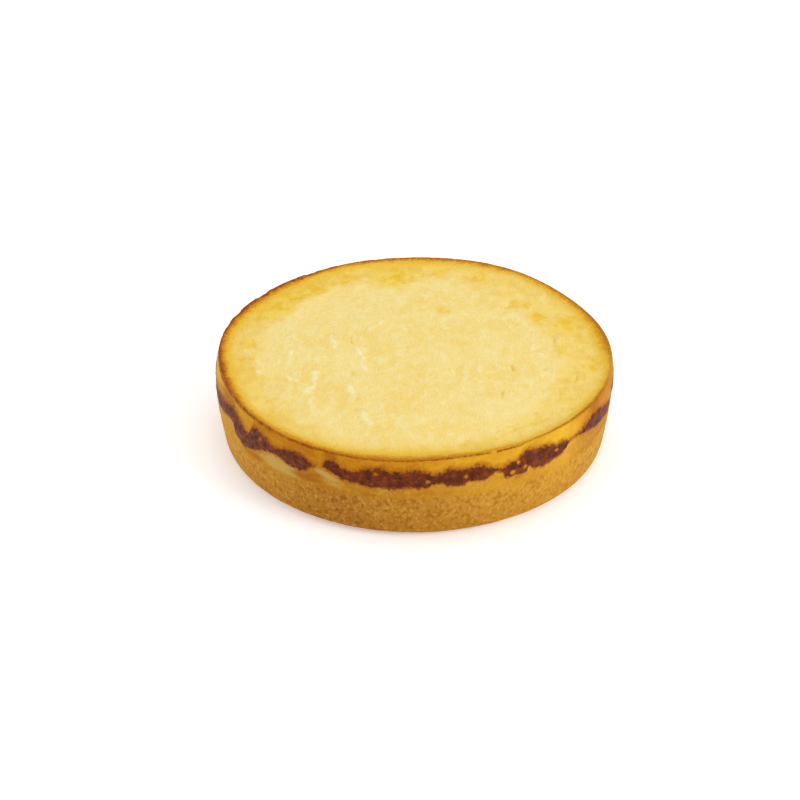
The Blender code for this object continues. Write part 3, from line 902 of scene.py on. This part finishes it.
pastry = turned("shortcrust_case", pastry_profile(), pastry_point)

# %% [markdown]
# ## Finishes are graphs of nodes
# Each finish is a graph that starts from the marks of the points and from noise, and ends in the
# shader. Short helpers keep the graphs readable: `number` does arithmetic, `blend` mixes two colours,
# `rise` turns a number into a smooth step, and `speckle` is noise of a stated size in metres.

# %% Colours as shaders need them
def linear(red, green, blue):
    """A colour as shaders need it, from the 0 to 255 scale of a swatch."""
    shares = [channel / 255 for channel in (red, green, blue)]
    return (*[s / 12.92 if s < 0.04045 else ((s + 0.055) / 1.055) ** 2.4 for s in shares], 1)


print("white in shader terms:", linear(255, 255, 255))

# %% A material's graph, and its helpers
class Graph:
    """A material's graph, with one short method for each kind of step."""

    def __init__(self, name):
        self.material = bpy.data.materials.new(name)
        self.material.use_nodes = True
        self.tree = self.material.node_tree
        self.shader = self.tree.nodes["Principled BSDF"]
        self.place = self.add("ShaderNodeTexCoord").outputs["Object"]

    def add(self, kind, inputs=(), **settings):
        made = self.tree.nodes.new(kind)
        for name, value in settings.items():
            setattr(made, name, value)
        for key, value in dict(inputs).items():
            self.put(made.inputs[key], value)
        return made

    def put(self, socket, value):
        if isinstance(value, bpy.types.NodeSocket):
            self.tree.links.new(value, socket)
        else:
            socket.default_value = value

    def mark(self, name):
        return self.add("ShaderNodeAttribute", attribute_name=name).outputs["Fac"]

    def number(self, operation, a, b=0.0):
        return self.add("ShaderNodeMath", {0: a, 1: b}, operation=operation).outputs[0]

    def total(self, *terms):
        summed = terms[0]
        for term in terms[1:]:
            summed = self.number("ADD", summed, term)
        return summed

    def times(self, a, b):
        return self.number("MULTIPLY", a, b)

    def rise(self, value, low, high, top=1.0):
        """0 at low and top at high, smooth between them; low may be the larger one."""
        inputs = {"Value": value, "From Min": low, "From Max": high, "To Max": top}
        return self.add("ShaderNodeMapRange", inputs, interpolation_type="SMOOTHSTEP").outputs["Result"]

    def blend(self, share, start, end):
        made = self.add("ShaderNodeMix", data_type="RGBA")
        self.put(made.inputs[0], share)
        self.put(made.inputs[6], start)
        self.put(made.inputs[7], end)
        return made.outputs[2]

    def coat(self, under, colour, value, low, high, top=1.0):
        """The colour under it, and a new one over it where a value goes from low to high."""
        return self.blend(self.rise(value, low, high, top), under, colour)

    def speckle(self, size, detail=2.0, stretch=(1, 1, 1), shift=0.0):
        """Noise around 0.5 whose lumps are about size across, times stretch along each axis."""
        scale = [1 / (size * s) for s in stretch]
        inputs = {"Vector": self.place, "Scale": scale, "Location": (shift, shift, shift)}
        placed = self.add("ShaderNodeMapping", inputs).outputs["Vector"]
        inputs = {"Vector": placed, "Scale": 1.0, "Detail": detail}
        return self.add("ShaderNodeTexNoise", inputs).outputs["Fac"]

    def wobble(self, size, amount, shift=0.0, stretch=(1, 1, 1)):
        """Noise around 0 that mostly stays within half of amount."""
        return self.times(self.number("SUBTRACT", self.speckle(size, 3.0, stretch, shift), 0.5), 2 * amount)

    def bump(self, heights, distance):
        inputs = {"Height": heights, "Distance": distance, "Strength": 1.0}
        return self.add("ShaderNodeBump", inputs).outputs["Normal"]


print("kinds of step in a graph:", [name for name in vars(Graph) if not name.startswith("_")])

# %% [markdown]
# ## The finish of the cheese
# The colour is laid on in coats, from the pale skin outwards, as the oven does it: first the pale skin
# with faint cream and yellow clouds, then the golden zone, then honey, amber and brown towards the
# rim. The side gets caramel, pale and toasted places, and last the scorch with its golden specks.

# %% Colours of the cheese
PALE_SKIN = linear(246, 221, 140)
CREAM_SKIN = linear(250, 232, 169)
YELLOW_SKIN = linear(244, 213, 118)
# White of the curd, also used as painted highlight on raised folds; next, the painted shade of the grooves
WHITE_CURD_AND_HIGHLIGHT = linear(251, 238, 190)
PAINTED_GROOVE_SHADE = linear(230, 190, 84)
DEEP_GOLD = linear(235, 189, 52)
LIGHT_GOLD = linear(245, 211, 96)
HONEY = linear(233, 189, 62)
AMBER = linear(214, 152, 28)
RUST = linear(186, 111, 14)
RIM_BROWN = linear(148, 72, 16)
RIM_LINE = linear(142, 66, 8)
# The bright copies of caramel and straw are lit copies: partly browning, partly painted light
CARAMEL = linear(198, 124, 6)
BRIGHT_CARAMEL = linear(238, 190, 48)
STRAW = linear(184, 122, 22)
BRIGHT_STRAW = linear(220, 164, 44)
LIGHT_STRAW = linear(222, 168, 66)
DARK_STRAW = linear(158, 98, 12)
MIDDLE_STRAW = linear(196, 140, 28)
PALE_SIDE = linear(198, 160, 76)
TOASTED = linear(172, 98, 8)
SCORCHED = linear(104, 42, 14)
SCORCHED_DARK = linear(80, 30, 16)
SCORCHED_RED = linear(142, 65, 16)
# The grey-violet of a painted sheen on the scorch
PAINTED_SHEEN = linear(124, 78, 70)
SPECK = linear(178, 106, 40)
print("the skin is", [round(share, 2) for share in PALE_SKIN[:3]], "in shader terms")

# %% The skin, from its pale middle to its brown rim
def pale_skin(graph):
    """Cream and yellow clouds of several sizes; painted highlight on folds, painted shade in grooves."""
    clouds = graph.speckle(9 * MM, 3.0)
    colour = graph.coat(YELLOW_SKIN, PALE_SKIN, clouds, 0.32, 0.62)
    flecks = graph.speckle(2.4 * MM, 3.0, (1, 1.5, 1), 3.0)
    colour = graph.coat(colour, CREAM_SKIN, flecks, 0.46, 0.74, 0.6)
    curds = graph.speckle(0.8 * MM, 2.0, (1, 1.8, 1), 7.0)
    colour = graph.coat(colour, CREAM_SKIN, curds, 0.42, 0.7, 0.25)
    colour = graph.coat(colour, YELLOW_SKIN, curds, 0.5, 0.3, 0.2)
    white = graph.speckle(0.7 * MM, 1.0, (1, 1.5, 1), 11.0)
    colour = graph.coat(colour, WHITE_CURD_AND_HIGHLIGHT, white, 0.64, 0.78, 0.4)
    # Painted light on the relief: a painted highlight whitens the raised folds and a painted shade yellows
    # the grooves
    raised = graph.total(graph.mark("raised"), graph.wobble(0.9 * MM, 0.05))
    colour = graph.coat(colour, WHITE_CURD_AND_HIGHLIGHT, raised, 0.05, 0.3, 0.7)
    return graph.coat(colour, PAINTED_GROOVE_SHADE, raised, -0.02, -0.2, 0.8)


def rim_browning(graph, inward, colour):
    """Honey, amber, rust and brown, one after another, towards the rim."""
    frayed = graph.total(inward, graph.wobble(0.6 * MM, 0.8, 4.0), graph.wobble(2.4 * MM, 0.7, 8.0))
    reach = graph.mark("reach")
    distance = graph.number("MAXIMUM", graph.number("DIVIDE", frayed, reach), 0.0)
    falloff = graph.number("POWER", distance, graph.total(1.3, graph.times(reach, 0.5)))
    uneven = graph.total(0.65, graph.times(graph.speckle(0.7 * MM, 3.0, shift=2.0), 0.7))
    darkness = graph.times(graph.mark("browning"), uneven)
    darkness = graph.number("DIVIDE", darkness, graph.total(1.0, falloff))
    colour = graph.coat(colour, HONEY, darkness, 0.02, 0.30)
    colour = graph.coat(colour, AMBER, darkness, 0.28, 0.60)
    colour = graph.coat(colour, RUST, darkness, 0.55, 0.95)
    return graph.coat(colour, RIM_BROWN, darkness, 0.90, 1.30)


def golden_skin(graph):
    """Two golds in soft blotches."""
    blotches = graph.speckle(2.8 * MM, 2.0, (1, 1.3, 1), 5.0)
    return graph.coat(DEEP_GOLD, LIGHT_GOLD, blotches, 0.3, 0.68)


def skin_colour(graph, inward):
    """The pale skin, the golden zone with its spots, and the browning towards the rim."""
    patchy = graph.total(graph.wobble(4 * MM, 3.6, 1.0), graph.wobble(1.2 * MM, 1.6))
    zone = graph.rise(graph.total(graph.mark("golden_depth"), patchy), -1.6, 2.6)
    flecks = graph.wobble(0.8 * MM, 0.35, 9.0, (1, 1.5, 1))
    zone = graph.times(zone, graph.total(graph.mark("golden"), graph.wobble(2.2 * MM, 0.3, 4.0), flecks))
    unevenness = graph.total(1.0, graph.wobble(1.8 * MM, 0.7, 6.0), flecks)
    spot = graph.times(graph.mark("golden_spot"), unevenness)
    golden = graph.number("MINIMUM", graph.total(zone, spot), 1.0)
    return rim_browning(graph, inward, graph.blend(golden, pale_skin(graph), golden_skin(graph)))


print("the rim browns to", [round(share, 2) for share in RIM_BROWN[:3]], "in shader terms")

# %% The side under the rim, and the film on the pastry
GRAIN_STRETCH = (1, 1, 1.3)  # grains are a little taller than they are wide


def grained(graph, colour, top):
    """Fine light and dark grain, at most as strong as top, on the lower side and on the film."""
    light = graph.speckle(0.9 * MM, 3.0, GRAIN_STRETCH)
    dark = graph.speckle(1.1 * MM, 3.0, GRAIN_STRETCH, 5.0)
    # The dark grain follows the side's tone, which is partly painted light and shade
    darker = graph.blend(graph.mark("tone"), DARK_STRAW, MIDDLE_STRAW)
    colour = graph.coat(colour, LIGHT_STRAW, light, 0.48, 0.72, top)
    return graph.coat(colour, darker, dark, 0.46, 0.72, top)


def side_tone_and_light(graph):
    """How light the side is: browning and painted light and shade round it, and a little everywhere."""
    broad = graph.wobble(4 * MM, 0.35, 0.0, (1, 1, 0.5))
    return graph.total(graph.mark("tone"), broad, graph.wobble(0.9 * MM, 0.12))


def straw(graph):
    """The lower side, and the film of cheese on the pastry; both pieces share it at their seam."""
    return grained(graph, graph.blend(side_tone_and_light(graph), STRAW, BRIGHT_STRAW), 0.35)


def side_colour(graph, inward):
    """Caramel under the rim and straw lower down."""
    colour = grained(graph, graph.blend(side_tone_and_light(graph), CARAMEL, BRIGHT_CARAMEL), 0.15)
    lower = graph.total(inward, graph.wobble(2.5 * MM, 1.2, 2.0))
    return graph.coat(colour, straw(graph), lower, -4.0, -7.5)


def pale_and_toasted(graph, colour):
    """The pale and toasted places, which both pieces share across their seam."""
    fray = graph.total(graph.wobble(2.0 * MM, 0.4, 5.0, (1.6, 1.6, 0.7)), graph.wobble(0.7 * MM, 0.2))
    pale = graph.total(graph.mark("pale"), fray)
    toasted = graph.total(graph.mark("toasted"), fray)
    colour = graph.coat(colour, PALE_SIDE, pale, 0.05, 0.95)
    return graph.coat(colour, TOASTED, toasted, 0.05, 1.0, 0.85)


print("caramel is", [round(share, 2) for share in CARAMEL[:3]], "in shader terms")

# %% The scorch, from its shape to its colour
def scorch_shares(graph):
    """How toasted and how scorched the side is, with frayed edges."""
    fine = graph.wobble(0.6 * MM, 0.85, 3.0)
    over = graph.total(graph.mark("over_scorch_foot"), fine, graph.wobble(1.3 * MM, 0.7))
    under = graph.total(graph.mark("under_scorch_top"), fine, graph.wobble(1.3 * MM, 0.8, 6.0))
    halo = graph.times(graph.rise(under, -1.5, 0.4), graph.rise(over, -0.8, 0.3))
    dark = graph.times(graph.rise(under, -0.2, 0.9), graph.rise(over, -0.25, 0.6))
    return halo, dark


def scorch_colour(graph):
    tone = graph.speckle(2.0 * MM, 3.0, shift=4.0)
    colour = graph.coat(SCORCHED_DARK, SCORCHED, tone, 0.36, 0.55)
    colour = graph.coat(colour, SCORCHED_RED, tone, 0.52, 0.7, 0.8)
    # Painted sheen: a speckled grey-violet glint over the scorch, strongest towards the sides
    sheen_speckle = graph.speckle(1.2 * MM, 3.0, shift=13.0)
    sheen_share = graph.times(graph.rise(sheen_speckle, 0.4, 0.65, 0.6), graph.mark("ash"))
    colour = graph.blend(sheen_share, colour, PAINTED_SHEEN)
    mottle = graph.speckle(0.7 * MM, 2.0, shift=9.0)
    colour = graph.coat(colour, SCORCHED_RED, mottle, 0.5, 0.7, 0.4)
    return graph.coat(colour, SPECK, mottle, 0.66, 0.8, 0.7)


print("the scorch is", [round(share, 3) for share in SCORCHED[:3]], "in shader terms")

# %% Put the coats together
def rim_line(graph):
    """The thin dark line just under the rim, where the skin tore from the side as it sank."""
    frayed = graph.total(graph.mark("over_line"), graph.wobble(0.7 * MM, 0.9, 6.0))
    off_line = graph.number("ABSOLUTE", frayed)
    dashes = graph.rise(graph.speckle(0.9 * MM, 2.0, shift=2.0), 0.3, 0.6)
    strength = graph.times(graph.mark("line"), graph.total(0.4, graph.times(dashes, 0.6)))
    return graph.times(graph.rise(off_line, 1.6, 0.3), strength)


def soft_and_dull(graph):
    """What both baked finishes share: light goes in a little way, and there is hardly any gloss."""
    graph.shader.inputs["Subsurface Weight"].default_value = 0.12
    graph.shader.inputs["Subsurface Radius"].default_value = (1.0, 0.55, 0.2)
    graph.shader.inputs["Subsurface Scale"].default_value = 1.0 * MM
    graph.shader.inputs["Specular IOR Level"].default_value = 0.08


def cheese_finish():
    graph = Graph("baked cheese")
    inward = graph.mark("inward")
    halo, dark = scorch_shares(graph)
    side = pale_and_toasted(graph, side_colour(graph, inward))
    side = graph.blend(graph.times(halo, 0.8), side, TOASTED)
    side = graph.blend(dark, side, scorch_colour(graph))
    colour = graph.coat(side, skin_colour(graph, inward), inward, -0.05, 0.05)
    colour = graph.blend(rim_line(graph), colour, RIM_LINE)
    graph.put(graph.shader.inputs["Base Color"], colour)
    roughness = graph.total(0.45, graph.times(graph.speckle(1.1 * MM, 3.0), 0.25))
    graph.put(graph.shader.inputs["Roughness"], roughness)
    fine = graph.times(graph.speckle(0.55 * MM, 2.0, (1, 1.6, 1)), 0.28)
    rough = graph.times(graph.speckle(0.6 * MM, 3.0, shift=8.0), graph.times(dark, 0.16))
    graph.put(graph.shader.inputs["Normal"], graph.bump(graph.total(fine, rough), MM))
    soft_and_dull(graph)
    return graph.material


cheese.data.materials.append(cheese_finish())
print("finish of the cheese:", cheese.data.materials[0].name)

# %% [markdown]
# ## The finish of the pastry
# Baked shortcrust is light brown where a grain stands out, with single grains that browned more. Painted
# shade darkens the joints and holes between grains and the crust towards its foot, and painted light and
# shade makes it lighter at the sides. Near the lip it is as smooth and golden as the cheese above it,
# because fat soaked in and a film of cheese baked on. The film ends in a frayed edge.

# %% Colours and finish of the pastry
# PASTRY and PASTRY_BRIGHT are a shaded and a lit copy of one crust colour, blended as painted light and
# shade
PASTRY = linear(178, 118, 36)
PASTRY_BRIGHT = linear(214, 158, 52)
GRAIN_LIGHT = linear(216, 165, 84)
# Dark grain, also used as painted shade in the crumb's hollows and towards the foot; next, its lit copy
DARK_GRAIN_AND_SHADE = linear(144, 87, 12)
LIT_DARK_GRAIN_AND_SHADE = linear(184, 126, 30)


def film_share(graph):
    """Where the film of cheese covers the pastry: all of it near the seam, then a frayed edge."""
    fray = graph.total(graph.wobble(2.4 * MM, 2.2, 3.0), graph.wobble(0.8 * MM, 1.0))
    film = graph.rise(graph.total(graph.mark("film_depth"), fray), 1.0, -1.0)
    at_seam = graph.rise(graph.total(graph.mark("below_lip"), graph.wobble(0.8 * MM, 0.4)), 1.1, 0.5)
    return graph.number("MAXIMUM", film, at_seam)


def pastry_finish():
    graph = Graph("sandy shortcrust")
    # Painted light and shade: the crust is lighter at the sides and darkest at the front on the left
    tone = graph.total(graph.mark("crust_tone"), graph.wobble(6 * MM, 0.25))
    colour = graph.blend(tone, PASTRY, PASTRY_BRIGHT)
    darker = graph.blend(tone, DARK_GRAIN_AND_SHADE, LIT_DARK_GRAIN_AND_SHADE)
    # Painted shade: the crust darkens towards its foot
    colour = graph.coat(colour, DARK_GRAIN_AND_SHADE, graph.mark("below_lip"), 3.0, 11.0, 0.22)
    light = graph.speckle(0.9 * MM, 3.0, GRAIN_STRETCH)
    colour = graph.coat(colour, GRAIN_LIGHT, light, 0.47, 0.7, 0.55)
    dark = graph.speckle(1.0 * MM, 4.0, GRAIN_STRETCH, 5.0)
    colour = graph.coat(colour, darker, dark, 0.46, 0.66, 0.85)
    # Painted shade in the holes and joints of the crumb
    colour = graph.coat(colour, darker, graph.mark("hollow"), 0.1, 0.9, 0.3)
    film = film_share(graph)
    colour = pale_and_toasted(graph, graph.blend(film, colour, straw(graph)))
    graph.put(graph.shader.inputs["Base Color"], colour)
    roughness = graph.total(0.6, graph.times(light, 0.3))
    graph.put(graph.shader.inputs["Roughness"], roughness)
    sand = graph.times(graph.speckle(0.5 * MM, 3.0), graph.rise(film, 1.0, 0.0, 0.14))
    graph.put(graph.shader.inputs["Normal"], graph.bump(sand, MM))
    soft_and_dull(graph)
    return graph.material


pastry.data.materials.append(pastry_finish())
print("finish of the pastry:", pastry.data.materials[0].name)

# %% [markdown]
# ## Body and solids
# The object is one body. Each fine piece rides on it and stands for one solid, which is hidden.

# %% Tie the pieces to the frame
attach(cheese, "root")
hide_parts("cheese_filling")
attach(pastry, "root")
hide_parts("pastry_case")
print("pieces:", cheese.name, pastry.name)

# %% [markdown]
# ## Floor and light
# A bright studio: a white table that is lit from below as well, a white surround, a large soft light
# above, a key from the right and a weak cool light on the left. Large lights keep the shadow soft.

# %% The floor
FLOOR_SIZE = 3.0
FLOOR_DROP = 0.05 * MM  # so that the floor and the underside don't share a plane
FLOOR_GLOW = 0.33

floor_mesh = bpy.data.meshes.new("floor")
half = FLOOR_SIZE / 2
corners = [(x, y, -FLOOR_DROP) for x, y in ((-half, -half), (half, -half), (half, half), (-half, half))]
floor_mesh.from_pydata(corners, [], [(0, 1, 2, 3)])
floor = bpy.data.objects.new("floor", floor_mesh)
scene.collection.objects.link(floor)
floor_graph = Graph("white table")
floor_graph.shader.inputs["Base Color"].default_value = (0.9, 0.9, 0.9, 1)
floor_graph.shader.inputs["Roughness"].default_value = 0.9
floor_graph.shader.inputs["Emission Color"].default_value = (1, 1, 1, 1)
floor_graph.shader.inputs["Emission Strength"].default_value = FLOOR_GLOW
floor.data.materials.append(floor_graph.material)
print("the floor is", FLOOR_SIZE, "m wide")

# %% The surround and the lamps
SURROUND = 0.56
# name, place, width, power in watts, colour
LAMPS = (
    ("softbox above", (0.05, 0.10, 0.90), 0.70, 2.05, (1.0, 0.99, 0.97)),
    ("key on the right", (0.75, -0.45, 0.60), 0.55, 3.9, (1.0, 0.99, 0.95)),
    ("cool fill on the left", (-0.80, 0.10, 0.35), 0.40, 1.0, (0.88, 0.93, 1.0)),
)


def aimed_lamp(name, place, width, power, colour):
    light = bpy.data.lights.new(name, "AREA")
    light.shape = "DISK"
    light.size = width
    light.energy = power
    light.color = colour
    lamp = bpy.data.objects.new(name, light)
    lamp.location = place
    lamp.rotation_mode = "QUATERNION"
    lamp.rotation_quaternion = (-Vector(place)).to_track_quat("-Z", "Y")
    scene.collection.objects.link(lamp)
    return lamp


world = bpy.data.worlds.new("surround")
world.use_nodes = True
surround = world.node_tree.nodes["Background"]
surround.inputs["Color"].default_value = (1, 1, 1, 1)
surround.inputs["Strength"].default_value = SURROUND
scene.world = world
lamps = [aimed_lamp(*settings) for settings in LAMPS]
scene.view_settings.view_transform = "Standard"
print("lamps:", [lamp.name for lamp in lamps])

# %% [markdown]
# ## The size stays the solids' size
